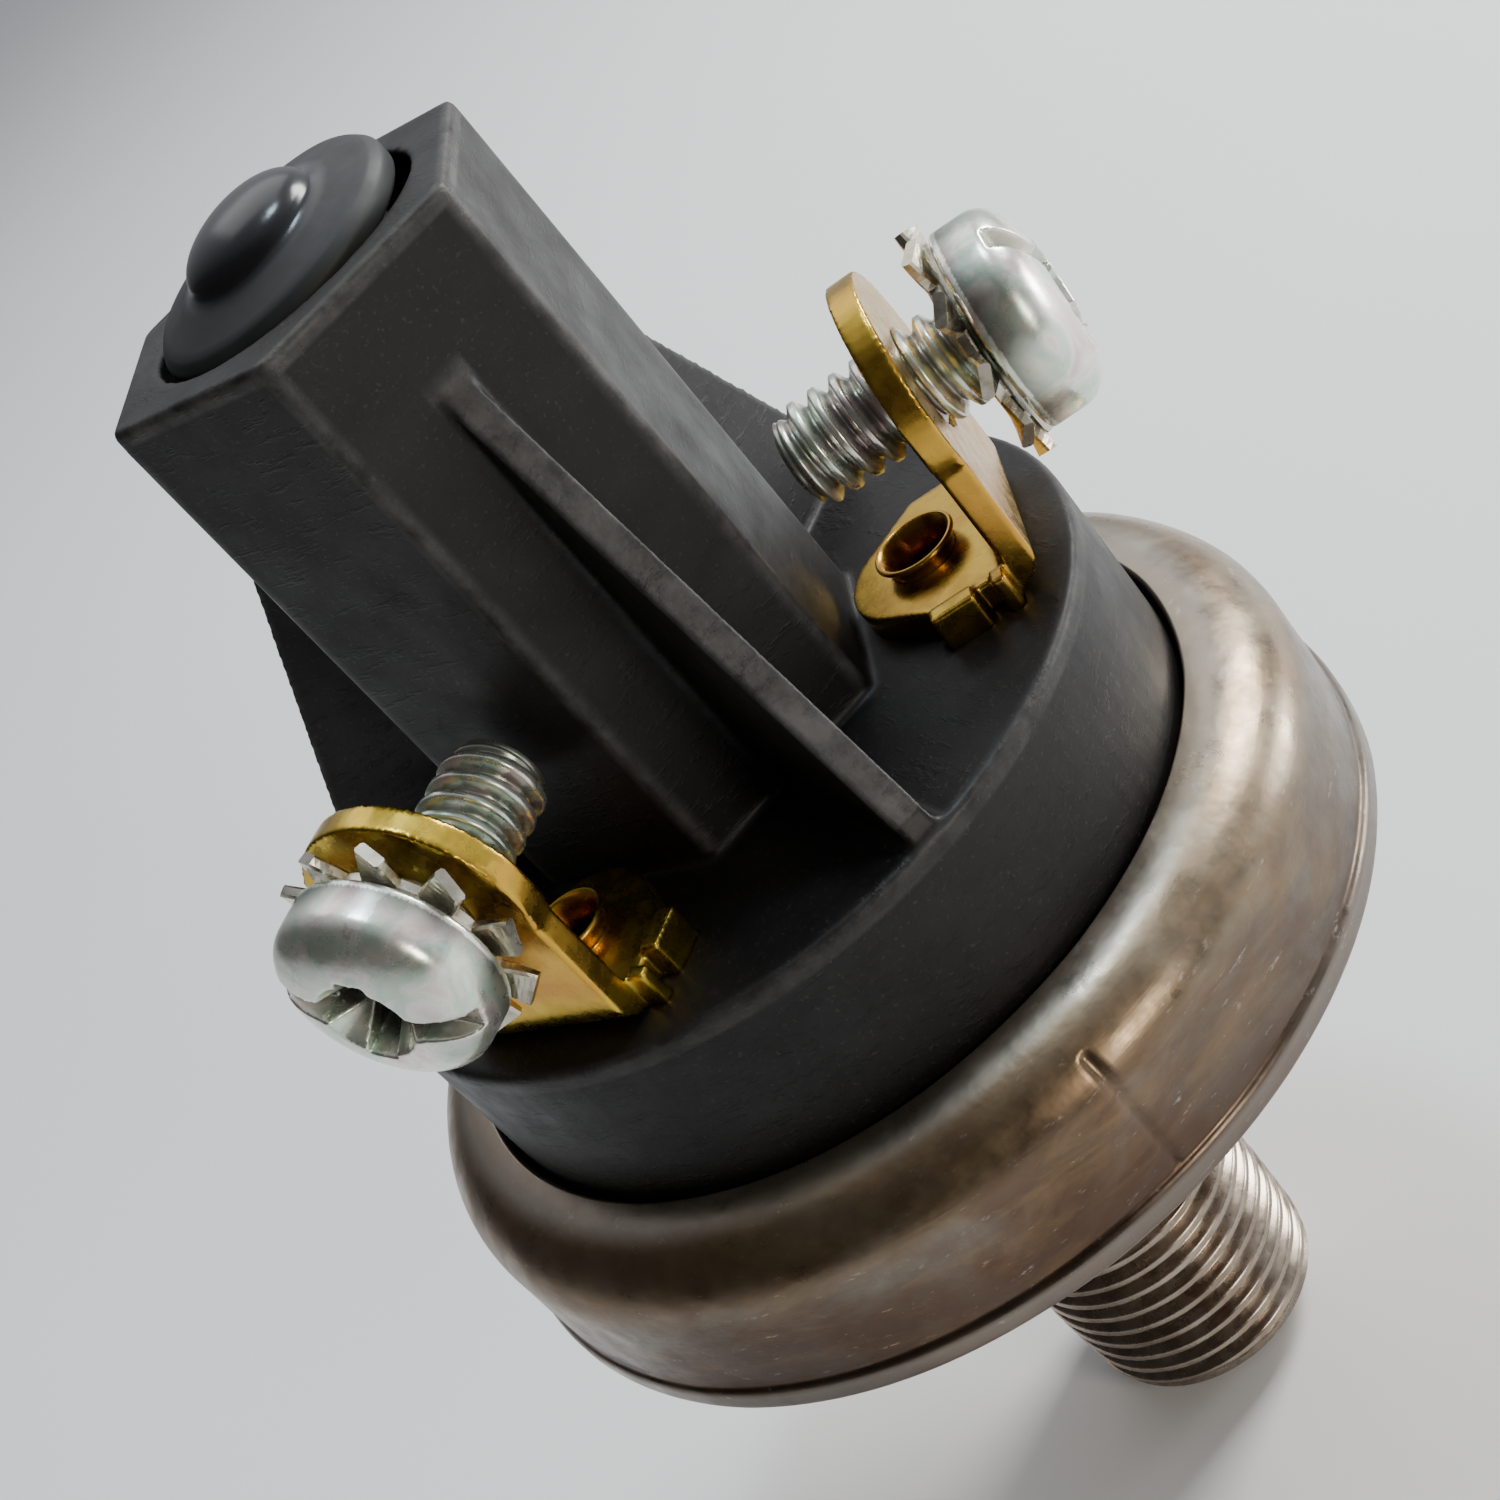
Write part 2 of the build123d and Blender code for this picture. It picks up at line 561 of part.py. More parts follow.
# ---------------------------------------------------------------- terminals
for side, (azimuth, hand) in SIDES.items():
    upright_out = UPRIGHT_IN + STRIP_T
    with BuildPart() as bracket:
        with BuildSketch(radial_plane(azimuth)):
            with BuildLine():
                Polyline((EYELET_REACH, FLOOR), (upright_out - 1.2, FLOOR))
                RadiusArc((upright_out - 1.2, FLOOR), (upright_out, FLOOR + 1.2), -1.2)
                Polyline(
                    (upright_out, FLOOR + 1.2),
                    (upright_out, SCREW_Z),
                    (UPRIGHT_IN, SCREW_Z),
                    (UPRIGHT_IN, FLOOR + STRIP_T + 0.3),
                )
                RadiusArc((UPRIGHT_IN, FLOOR + STRIP_T + 0.3), (UPRIGHT_IN - 0.3, FLOOR + STRIP_T), 0.3)
                Polyline(
                    (UPRIGHT_IN - 0.3, FLOOR + STRIP_T),
                    (EYELET_REACH, FLOOR + STRIP_T),
                    (EYELET_REACH, FLOOR),
                )
            make_face()
        extrude(amount=LEG_HALF_W, both=True)
        with BuildSketch(level_plane(azimuth, FLOOR)):
            with Locations((EYELET_REACH, 0)):
                Circle(FOOT_END_R)
            with Locations((EYELET_REACH + 0.1, 0)):
                Rectangle(0.2, 2 * LEG_HALF_W)
            make_hull()
        extrude(amount=STRIP_T)
        with BuildSketch(facing_plane(azimuth, UPRIGHT_IN, SCREW_Z)):
            Circle(EYE_R)
        extrude(amount=STRIP_T)
        with BuildSketch(facing_plane(azimuth, UPRIGHT_IN, SCREW_Z)):
            Circle(SCREW_R + RUNNING)
        extrude(amount=STRIP_T, mode=Mode.SUBTRACT)
        with BuildSketch(level_plane(azimuth, FLOOR)):
            with Locations((EYELET_REACH, 0)):
                Circle(EYELET_R)
        extrude(amount=STRIP_T, mode=Mode.SUBTRACT)
        with BuildSketch(level_plane(azimuth, FLOOR - 0.5)):
            for place, (_, width) in zip(lug_places(hand), LUGS):
                with Locations(place):
                    Rectangle(width, LUG_OUT)
        extrude(amount=STRIP_T + 0.75)
    bracket.part.label = f"terminal_bracket_{side}"
    export_step(bracket.part, f"parts/terminal_bracket_{side}.step")

    with BuildPart() as eyelet:
        with BuildSketch(level_plane(azimuth, CEILING - BLADE_T - 0.4)):
            with Locations((EYELET_REACH, 0)):
                Circle(EYELET_R + 0.7)
                Circle(EYELET_IN_R, mode=Mode.SUBTRACT)
        extrude(amount=0.4)
        with BuildSketch(level_plane(azimuth, CEILING - BLADE_T)):
            with Locations((EYELET_REACH, 0)):
                Circle(EYELET_R)
                Circle(EYELET_IN_R, mode=Mode.SUBTRACT)
        extrude(amount=EYELET_TOP - CEILING + BLADE_T)
        with BuildSketch(level_plane(azimuth, EYELET_TOP - 0.4)):
            with Locations((EYELET_REACH, 0)):
                Circle(EYELET_RIM_R)
                Circle(EYELET_R - 0.05, mode=Mode.SUBTRACT)
        extrude(amount=0.4)
        rim_edges = eyelet.edges().filter_by(GeomType.CIRCLE).filter_by(lambda e: e.radius > EYELET_RIM_R - 0.01)
        fillet(rim_edges.filter_by_position(Axis.Z, EYELET_TOP - 0.5, EYELET_TOP + 0.1), 0.15)
    eyelet.part.label = f"terminal_eyelet_{side}"
    export_step(eyelet.part, f"parts/terminal_eyelet_{side}.step")

    lock_base = upright_out + WIRE_GAPS[side]
    with BuildPart() as lock:
        with BuildSketch(facing_plane(azimuth, lock_base + (LOCK_T - LOCK_STRIP) / 2, SCREW_Z)):
            Circle(LOCK_R - 1.2)
            Circle(SCREW_R + RUNNING, mode=Mode.SUBTRACT)
        extrude(amount=LOCK_STRIP)
        for tooth in range(10):
            swing = radians(36 * tooth - 9)
            a = radians(azimuth)
            reach = lock_base + LOCK_T / 2
            across = (-sin(a) * sin(swing), cos(a) * sin(swing), cos(swing))
            tooth_plane = Plane(
                origin=(reach * cos(a), reach * sin(a), SCREW_Z), x_dir=(cos(a), sin(a), 0), z_dir=across
            )
            with BuildSketch(tooth_plane.offset(LOCK_R - 1.5)):
                Rectangle(LOCK_STRIP - 0.05, 1.2)
            with BuildSketch(tooth_plane.offset(LOCK_R - 0.05)):
                Rectangle(LOCK_STRIP - 0.1, 1.15, rotation=24)
            loft()
    lock.part.label = f"lock_washer_{side}"
    export_step(lock.part, f"parts/lock_washer_{side}.step")

    head_base = lock_base + LOCK_T
    tip = head_base - SCREW_LEN
    with BuildPart() as screw:
        with BuildSketch(radial_plane(azimuth, SCREW_Z)):
            with BuildLine():
                Polyline(
                    (tip, 0),
                    (tip, SCREW_R - 0.45),
                    *[
                        (along, radius)
                        for radius, along in thread_points(
                            tip + 0.35, SCREW_PITCH, 7, lambda z: SCREW_R, 0.4, 0.14
                        )
                    ],
                    (tip + 0.35 + 7 * SCREW_PITCH, SCREW_R - 0.4),
                    (head_base, SCREW_R - 0.4),
                    (head_base, HEAD_R),
                    (head_base + HEAD_RIM, HEAD_R),
                )
                EllipticalCenterArc((head_base + HEAD_RIM, 0), HEAD_H - HEAD_RIM, HEAD_R, arc_size=90)
                Line((head_base + HEAD_H, 0), (tip, 0))
            make_face()
        revolve(axis=outward_axis(azimuth, SCREW_Z))
        with BuildSketch(facing_plane(azimuth, head_base + HEAD_H, SCREW_Z)):
            Rectangle(2 * HEAD_R, 1.1)
            Rectangle(1.1, 4.0)
        extrude(amount=-1.3, mode=Mode.SUBTRACT)
    screw.part.label = f"terminal_screw_{side}"
    export_step(screw.part, f"parts/terminal_screw_{side}.step")
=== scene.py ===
"""Looks for the pressure switch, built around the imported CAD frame. All lengths are in metres."""

import json
from math import cos, floor as whole, hypot, pi, radians, sin, sqrt, tan

import bmesh
import bpy
import numpy as np
from mathutils import Matrix, Vector


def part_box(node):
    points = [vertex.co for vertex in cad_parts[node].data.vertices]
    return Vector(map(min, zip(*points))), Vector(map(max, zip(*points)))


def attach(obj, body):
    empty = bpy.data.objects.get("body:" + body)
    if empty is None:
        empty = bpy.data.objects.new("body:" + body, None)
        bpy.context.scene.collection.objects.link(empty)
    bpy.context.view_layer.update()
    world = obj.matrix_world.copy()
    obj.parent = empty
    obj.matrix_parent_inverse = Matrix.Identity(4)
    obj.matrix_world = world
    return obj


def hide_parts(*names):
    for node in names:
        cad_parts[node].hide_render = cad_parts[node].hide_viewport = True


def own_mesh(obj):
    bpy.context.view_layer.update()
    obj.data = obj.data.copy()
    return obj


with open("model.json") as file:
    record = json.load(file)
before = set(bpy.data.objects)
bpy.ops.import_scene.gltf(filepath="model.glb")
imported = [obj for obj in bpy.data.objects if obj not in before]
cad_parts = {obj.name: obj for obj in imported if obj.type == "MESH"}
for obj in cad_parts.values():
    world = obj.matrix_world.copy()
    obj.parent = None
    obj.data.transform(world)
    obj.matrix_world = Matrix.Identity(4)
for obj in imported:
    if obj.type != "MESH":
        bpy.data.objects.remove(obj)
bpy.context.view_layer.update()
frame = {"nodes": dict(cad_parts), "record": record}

MM = 0.001

# ---------------------------------------------------------------- camera
camera_data = bpy.data.cameras.new("camera")
camera_data.lens = 57.34
camera_data.shift_x = 0.05
camera_data.shift_y = 0.0167
camera_data.clip_start = 0.005
camera = bpy.data.objects.new("camera", camera_data)
camera.location = (-0.014048, -0.070632, 0.073620)
camera.rotation_euler = (radians(53.724), radians(36.638), radians(-33.527))
bpy.context.collection.objects.link(camera)
bpy.context.scene.camera = camera


# ---------------------------------------------------------------- materials
class Shader:
    """One procedural material: a Principled shader fed by textures in the part's own coordinates."""

    def __init__(self, name, metallic=0.0, rough=0.4, **fixed):
        self.mat = bpy.data.materials.new(name)
        self.mat.use_nodes = True
        self.nodes = self.mat.node_tree.nodes
        self.links = self.mat.node_tree.links
        self.bsdf = self.nodes["Principled BSDF"]
        self.bsdf.inputs["Metallic"].default_value = metallic
        self.bsdf.inputs["Roughness"].default_value = rough
        for key, value in fixed.items():
            self.bsdf.inputs[key.replace("_", " ")].default_value = value
        self.place = self.nodes.new("ShaderNodeTexCoord").outputs["Object"]

    def stretch(self, scale):
        node = self.nodes.new("ShaderNodeMapping")
        node.inputs["Scale"].default_value = scale
        self.links.new(self.place, node.inputs["Vector"])
        return node.outputs[0]

    def noise(self, size_mm, detail=3.0, rough=0.55, place=None, distort=0.0):
        node = self.nodes.new("ShaderNodeTexNoise")
        node.inputs["Scale"].default_value = 1.0 / (size_mm * MM)
        node.inputs["Detail"].default_value = detail
        node.inputs["Roughness"].default_value = rough
        node.inputs["Distortion"].default_value = distort
        self.links.new(place or self.place, node.inputs["Vector"])
        return node.outputs["Fac"]

    def cells(self, size_mm):
        node = self.nodes.new("ShaderNodeTexVoronoi")
        node.inputs["Scale"].default_value = 1.0 / (size_mm * MM)
        self.links.new(self.place, node.inputs["Vector"])
        return node.outputs["Distance"]

    def attribute(self, name):
        node = self.nodes.new("ShaderNodeAttribute")
        node.attribute_name = name
        return node.outputs["Fac"]

    def ramp(self, source, *stops):
        """stops are (position, colour or grey)."""
        node = self.nodes.new("ShaderNodeValToRGB")
        element = node.color_ramp.elements
        while len(element) < len(stops):
            element.new(0.5)
        for e, (position, value) in zip(element, stops):
            e.position = position
            e.color = (*value, 1) if isinstance(value, tuple) else (value, value, value, 1)
        self.links.new(source, node.inputs["Fac"])
        return node.outputs["Color"]

    def math(self, kind, a, b):
        node = self.nodes.new("ShaderNodeMath")
        node.operation = kind
        node.use_clamp = kind != "SUBTRACT"
        for socket, value in zip(node.inputs, (a, b)):
            if isinstance(value, (int, float)):
                socket.default_value = value
            else:
                self.links.new(value, socket)
        return node.outputs[0]

    def mix(self, amount, a, b, kind="MIX"):
        node = self.nodes.new("ShaderNodeMix")
        node.data_type = "RGBA"
        node.blend_type = kind
        for socket, value in zip((node.inputs[0], node.inputs[6], node.inputs[7]), (amount, a, b)):
            if isinstance(value, tuple):
                socket.default_value = (*value, 1)
            elif isinstance(value, (int, float)):
                socket.default_value = value
            else:
                self.links.new(value, socket)
        return node.outputs[2]

    def bump(self, height, strength, depth_mm, painted_low_shade=None):
        node = self.nodes.new("ShaderNodeBump")
        node.inputs["Strength"].default_value = strength
        node.inputs["Distance"].default_value = depth_mm * MM
        self.links.new(height, node.inputs["Height"])
        if painted_low_shade:
            self.links.new(painted_low_shade, node.inputs["Normal"])
        return node.outputs[0]

    def finish(self, color=None, rough=None, normal=None):
        for key, value in (("Base Color", color), ("Roughness", rough), ("Normal", normal)):
            if value is not None:
                self.links.new(value, self.bsdf.inputs[key])
        return self.mat


def housing_material():
    """Moulded black plastic: fine grain, handling scuffs, and edges lightened to grey, partly rubbed wear and partly
    painted highlight.
    """
    s = Shader("housing_plastic", rough=0.5, Specular_IOR_Level=0.28)
    surface_mask = s.attribute("surface_mask")
    broken = s.noise(1.3, 5, 0.65)
    edge = s.math("MULTIPLY", surface_mask, s.ramp(broken, (0.35, 0.15), (0.7, 1.0)))
    dust = s.ramp(s.noise(5.5, 5, 0.6), (0.4, 0.0), (0.75, 1.0))
    speck = s.ramp(s.noise(0.16, 2, 0.6), (0.62, 0.0), (0.72, 1.0))
    color = s.mix(dust, (0.0055, 0.0042, 0.0038), (0.0105, 0.009, 0.0082))
    color = s.mix(s.math("MULTIPLY", speck, 0.35), color, (0.06, 0.058, 0.055))
    # Painted highlight and rubbed wear: the marked edges are lightened to grey.
    color = s.mix(s.math("MULTIPLY", edge, 0.8), color, (0.115, 0.11, 0.105))
    rough = s.ramp(s.noise(2.2, 4, 0.6), (0.3, 0.4), (0.75, 0.58))
    scuff = s.noise(0.9, 4, 0.7, s.stretch((1.0, 0.35, 2.6)))
    normal = s.bump(s.noise(0.22, 3, 0.6), 0.25, 0.03)
    normal = s.bump(s.ramp(scuff, (0.55, 0.0), (0.66, 1.0)), 0.35, 0.03, normal)
    return s.finish(color, rough, normal)


def plug_material():
    """Moulded plug: glossy dark dome, duller dark rim that painted light turns greenish grey toward -X."""
    s = Shader("plug_plastic", rough=0.3)
    rim = s.attribute("surface_mask")
    cloud = s.noise(1.1, 4, 0.6)
    dull = s.mix(cloud, (0.01, 0.011, 0.012), (0.02, 0.021, 0.02))
    # Painted light: the rim is lightened to greenish grey toward -X.
    across = s.nodes.new("ShaderNodeSeparateXYZ")
    s.links.new(s.place, across.inputs[0])
    painted_light_minus_x = s.ramp(s.math("ADD", s.math("MULTIPLY", across.outputs[0], 100.0), 0.5), (0.12, 1.0), (0.42, 0.0))
    dull = s.mix(painted_light_minus_x, dull, (0.24, 0.25, 0.22))
    color = s.mix(rim, (0.012, 0.012, 0.014), dull)
    rough = s.ramp(s.mix(rim, (0.22, 0.22, 0.22), s.ramp(cloud, (0.3, 0.5), (0.7, 0.65))), (0.0, 0.0), (1.0, 1.0))
    gloss = s.math("ADD", s.math("MULTIPLY", rim, -0.34), 0.42)
    s.links.new(gloss, s.bsdf.inputs["Specular IOR Level"])
    return s.finish(color, rough, s.bump(s.noise(0.35, 3), 0.15, 0.03))


def shell_material():
    """Zinc-plated pressed steel, passivated brown and olive, scuffed and mottled by handling, with painted light:
    lighter toward +X and on the upper shoulder, darker in the low band, and painted highlight lines on the rolled
    edges.
    """
    s = Shader("shell_steel", metallic=0.92, rough=0.35)
    across = s.nodes.new("ShaderNodeSeparateXYZ")
    s.links.new(s.place, across.inputs[0])
    # Painted light: the tone rises toward +X, so the side the lamps light is lighter and more olive.
    painted_light_toward_x = s.math("ADD", s.math("MULTIPLY", across.outputs[0], 16.0), 0.42)
    cloud = s.noise(6, 5, 0.6, s.stretch((0.8, 0.8, 1.6)), 0.6)
    tone = s.math("ADD", s.math("MULTIPLY", cloud, 0.75), s.math("MULTIPLY", s.math("SUBTRACT", painted_light_toward_x, 0.22), 0.6))
    mottle = s.noise(2.0, 6, 0.68)
    ring = s.noise(0.5, 3, 0.6, s.stretch((0.25, 0.25, 3.0)))
    color = s.ramp(tone, (0.22, (0.045, 0.026, 0.02)), (0.45, (0.13, 0.08, 0.05)), (0.7, (0.25, 0.24, 0.205)))
    color = s.mix(s.ramp(mottle, (0.35, 0.55), (0.62, 0.0)), color, (0.13, 0.095, 0.072))
    streak = s.ramp(s.noise(2.6, 5, 0.65, s.stretch((0.45, 0.45, 1.5)), 0.8), (0.48, 0.0), (0.72, 0.4))
    color = s.mix(streak, color, (0.36, 0.24, 0.12))
    # Painted shade: the low band of the can is darkened toward dark brown.
    painted_low_shade = s.ramp(s.math("MULTIPLY", across.outputs[2], 30.0), (0.7, 0.6), (0.8, 0.0))
    color = s.mix(painted_low_shade, color, (0.06, 0.034, 0.024))
    # Painted light: the upper shoulder and lip are lightened toward gold.
    painted_lip_light = s.ramp(s.math("MULTIPLY", across.outputs[2], 30.0), (0.79, 0.0), (0.85, 0.35))
    color = s.mix(painted_lip_light, color, (0.42, 0.3, 0.17))
    fleck = s.ramp(s.noise(0.45, 4, 0.75, s.stretch((0.4, 0.4, 1.6))), (0.63, 0.0), (0.72, 1.0))
    color = s.mix(s.math("MULTIPLY", fleck, 0.35), color, (0.62, 0.58, 0.5))
    # Painted highlight: light lines on the rolled bottom edge and the top of the lip, from the surface mask.
    color = s.mix(s.math("MULTIPLY", s.attribute("surface_mask"), 0.75), color, (0.62, 0.6, 0.55))
    rough = s.ramp(s.noise(1.4, 5, 0.65), (0.3, 0.24), (0.7, 0.44))
    normal = s.bump(ring, 0.18, 0.03)
    normal = s.bump(s.noise(3.2, 4, 0.6), 0.35, 0.12, normal)
    return s.finish(color, rough, normal)


def steel_material(name, light, dark, rough_low, rough_high, grain=0.15):
    """Plated or oiled steel with blotches and stains."""
    s = Shader(name, metallic=1.0)
    blotch = s.noise(1.8, 5, 0.65)
    color = s.ramp(blotch, (0.3, dark), (0.65, light))
    stain = s.ramp(s.noise(0.6, 4, 0.7), (0.6, 0.0), (0.75, 0.5))
    color = s.mix(stain, color, tuple(0.55 * c for c in dark))
    rough = s.ramp(s.noise(0.9, 4, 0.6), (0.3, rough_low), (0.7, rough_high))
    return s.finish(color, rough, s.bump(s.noise(0.3, 3), grain, 0.02))


def screw_material():
    """Bright zinc with the faint pink and green of a clear passivation film."""
    s = Shader("screw_zinc", metallic=0.85)
    film = s.noise(2.2, 2, 0.5, distort=1.5)
    color = s.ramp(
        film,
        (0.3, (0.74, 0.6, 0.57)),
        (0.45, (0.86, 0.84, 0.76)),
        (0.6, (0.6, 0.72, 0.6)),
        (0.75, (0.84, 0.8, 0.68)),
    )
    grime = s.ramp(s.noise(0.7, 5, 0.7), (0.62, 0.0), (0.74, 0.5))
    color = s.mix(grime, color, (0.25, 0.22, 0.17))
    # Darker in the head's recess and at the thread roots, from the surface mask.
    color = s.mix(s.math("MULTIPLY", s.attribute("surface_mask"), 0.75), color, (0.1, 0.085, 0.07))
    rough = s.ramp(s.noise(1.2, 4, 0.6), (0.3, 0.2), (0.7, 0.36))
    return s.finish(color, rough, s.bump(s.noise(1.0, 3), 0.25, 0.05))


def brass_material(name, bright, tarnish, share):
    """Stamped yellow brass with tarnish that gathers in blotches, and painted shade on the +X side."""
    s = Shader(name, metallic=1.0)
    cloud = s.noise(2.6, 4, 0.6, distort=0.5)
    height = s.nodes.new("ShaderNodeSeparateXYZ")
    s.links.new(s.place, height.inputs[0])
    low = s.ramp(s.math("MULTIPLY", height.outputs[2], 20.0), (0.73, 0.0), (0.75, 0.55), (0.81, 0.35), (0.86, 0.0))
    color = s.ramp(cloud, (share, bright), (share + 0.25, tarnish))
    color = s.mix(low, color, (0.55, 0.21, 0.04))
    # Painted shade: the brass on the +X side, where the key lamp shines, is darkened toward deeper orange.
    right_side_shade = s.ramp(s.math("ADD", s.math("MULTIPLY", height.outputs[0], 20.0), 0.5), (0.4, 0.0), (0.65, 0.5))
    color = s.mix(right_side_shade, color, (0.4, 0.19, 0.045))
    color = s.mix(s.ramp(s.noise(0.35, 4, 0.7), (0.62, 0.0), (0.75, 0.3)), color, (0.3, 0.15, 0.05))
    # Darker red-brown inside the eyelets' bores, from the surface mask.
    color = s.mix(s.math("MULTIPLY", s.attribute("surface_mask"), 0.85), color, (0.33, 0.075, 0.02))
    rough = s.ramp(s.noise(0.8, 4, 0.6), (0.3, 0.2), (0.7, 0.35))
    return s.finish(color, rough, s.bump(s.noise(0.5, 4), 0.2, 0.03))


def dull_material(name, color_a, color_b, rough, grain_mm=0.4):
    """Rubber or nylon with a fine grain."""
    s = Shader(name, rough=rough)
    color = s.mix(s.noise(1.5, 4), color_a, color_b)
    return s.finish(color, None, s.bump(s.noise(grain_mm, 3), 0.3, 0.03))


FINISHES = {
    "housing_plastic": housing_material(),
    "plug_plastic": plug_material(),
    "shell_steel": shell_material(),
    "fitting_steel": steel_material("fitting_steel", (0.44, 0.37, 0.3), (0.24, 0.18, 0.135), 0.2, 0.34),
    "screw_zinc": screw_material(),
    "washer_zinc": steel_material("washer_zinc", (0.72, 0.68, 0.58), (0.42, 0.36, 0.26), 0.18, 0.34),
    "terminal_brass": brass_material("terminal_brass", (0.72, 0.52, 0.06), (0.5, 0.31, 0.04), 0.42),
    "insert_brass": brass_material("insert_brass", (0.7, 0.5, 0.2), (0.5, 0.33, 0.12), 0.4),
    "adjuster_steel": steel_material("adjuster_steel", (0.34, 0.33, 0.31), (0.16, 0.15, 0.14), 0.25, 0.4),
    "spring_steel": steel_material("spring_steel", (0.36, 0.35, 0.33), (0.2, 0.19, 0.18), 0.22, 0.35),
    "seat_zinc": steel_material("seat_zinc", (0.6, 0.6, 0.57), (0.4, 0.39, 0.36), 0.25, 0.4),
    "seal_rubber": dull_material("seal_rubber", (0.02, 0.02, 0.02), (0.035, 0.035, 0.035), 0.7),
    "diaphragm_rubber": dull_material("diaphragm_rubber", (0.07, 0.035, 0.025), (0.11, 0.06, 0.045), 0.65),
    "piston_plastic": dull_material("piston_plastic", (0.62, 0.58, 0.48), (0.7, 0.66, 0.56), 0.5),
    "contact_brass": brass_material("contact_brass", (0.78, 0.55, 0.2), (0.6, 0.4, 0.15), 0.5),
    "contact_silver": steel_material("contact_silver", (0.85, 0.84, 0.8), (0.6, 0.59, 0.55), 0.2, 0.35),
}


# ---------------------------------------------------------------- stage and light
def area_light(name, place, size, power, color=(1, 1, 1), target=(0, 0, 0.032)):
    data = bpy.data.lights.new(name, "AREA")
    data.energy = power
    data.size = size
    data.color = color
    lamp = bpy.data.objects.new(name, data)
    lamp.location = place
    lamp.rotation_mode = "QUATERNION"
    lamp.rotation_quaternion = (Vector(target) - Vector(place)).to_track_quat("-Z", "Y")
    bpy.context.collection.objects.link(lamp)


ground = bpy.data.meshes.new("floor")
ground.from_pydata([(-4, -4, 0), (4, -4, 0), (4, 4, 0), (-4, 4, 0)], [], [(0, 1, 2, 3)])
floor = bpy.data.objects.new("floor", ground)
floor.location.z = -0.0004
bpy.context.collection.objects.link(floor)
paper = Shader("floor_paper", rough=0.85)
ground.materials.append(paper.finish(paper.mix(paper.noise(60, 2), (0.88, 0.88, 0.88), (0.92, 0.92, 0.92))))

# A soft studio: bright above and to the right, dark to the left and in front
world = bpy.data.worlds.new("studio")
bpy.context.scene.world = world
world.use_nodes = True
sky, wire = world.node_tree.nodes, world.node_tree.links
side_on = sky.new("ShaderNodeVectorMath")
side_on.operation = "DOT_PRODUCT"
side_on.inputs[1].default_value = (0.8, 0.35, 0.5)
wire.new(sky.new("ShaderNodeTexCoord").outputs["Generated"], side_on.inputs[0])
shade = sky.new("ShaderNodeValToRGB")
shade.color_ramp.elements[0].position = 0.05
shade.color_ramp.elements[0].color = (0.07, 0.066, 0.064, 1)
shade.color_ramp.elements[1].position = 0.85
shade.color_ramp.elements[1].color = (0.8, 0.84, 0.9, 1)
wire.new(side_on.outputs["Value"], shade.inputs["Fac"])
wire.new(shade.outputs["Color"], sky["Background"].inputs["Color"])
sky["Background"].inputs["Strength"].default_value = 0.8
area_light("key", (0.32, 0.05, 0.24), 0.13, 1.75, (1.0, 0.99, 0.97))
area_light("window", (0.12, 0.03, 0.42), 0.06, 0.45, (0.72, 0.88, 1.0))
area_light("low", (0.34, -0.07, 0.02), 0.08, 0.8, (0.95, 0.98, 1.0))
area_light("overhead", (0.12, 0.3, 0.38), 0.3, 0.35)
area_light("front", (0.06, -0.33, 0.15), 0.08, 0.4, (1.0, 0.93, 0.82))


# ---------------------------------------------------------------- mesh helpers
def put(mesh, name, body, slot, replaced, smooth=True):
    """Link a finished mesh as a piece that rides on a body and stands for CAD nodes."""
    obj = bpy.data.objects.new(name, mesh)
    bpy.context.collection.objects.link(obj)
    mesh.materials.clear()
    mesh.materials.append(FINISHES[slot])
    if smooth:
        mesh.polygons.foreach_set("use_smooth", [True] * len(mesh.polygons))
    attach(obj, body)
    if replaced:
        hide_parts(*replaced)
    return obj


def set_surface_mask(mesh, rule):
    """Store rule(x, y, z) in millimetres as the point attribute that the materials read as a mask: rubbed edges with
    painted highlights, darker hollows, or the plug's rim.
    """
    attribute = mesh.attributes.new("surface_mask", "FLOAT", "POINT")
    values = [min(1.0, max(0.0, rule(*(c / MM for c in v.co)))) for v in mesh.vertices]
    attribute.data.foreach_set("value", values)


def grid_mesh(name, rows, closed_rows=False):
    """Quads over rows of points, each row a closed ring of the same length."""
    count = len(rows[0])
    points = [p for row in rows for p in row]
    faces = []
    spans = len(rows) if closed_rows else len(rows) - 1
    for i in range(spans):
        a, b = i * count, ((i + 1) % len(rows)) * count
        for j in range(count):
            k = (j + 1) % count
            faces.append((a + j, a + k, b + k, b + j))
    mesh = bpy.data.meshes.new(name)
    mesh.from_pydata(points, [], faces)
    return mesh


def weld(mesh, distance=2e-6):
    bm = bmesh.new()
    bm.from_mesh(mesh)
    bmesh.ops.remove_doubles(bm, verts=bm.verts, dist=distance)
    bmesh.ops.recalc_face_normals(bm, faces=bm.faces)
    bm.to_mesh(mesh)
    bm.free()
    return mesh


def lathe(name, profile, place, segments=128, shift=None):
    """Turn a profile of (along, radius) millimetres about the local Z of place.

    shift(angle, along, radius) may return a changed (along, radius)."""
    rows = []
    for along, radius in profile:
        row = []
        for j in range(segments):
            angle = 2 * pi * j / segments
            a, r = shift(angle, along, radius) if shift else (along, radius)
            row.append(place @ Vector((r * MM * cos(angle), r * MM * sin(angle), a * MM)))
        rows.append(row)
    return weld(grid_mesh(name, rows))


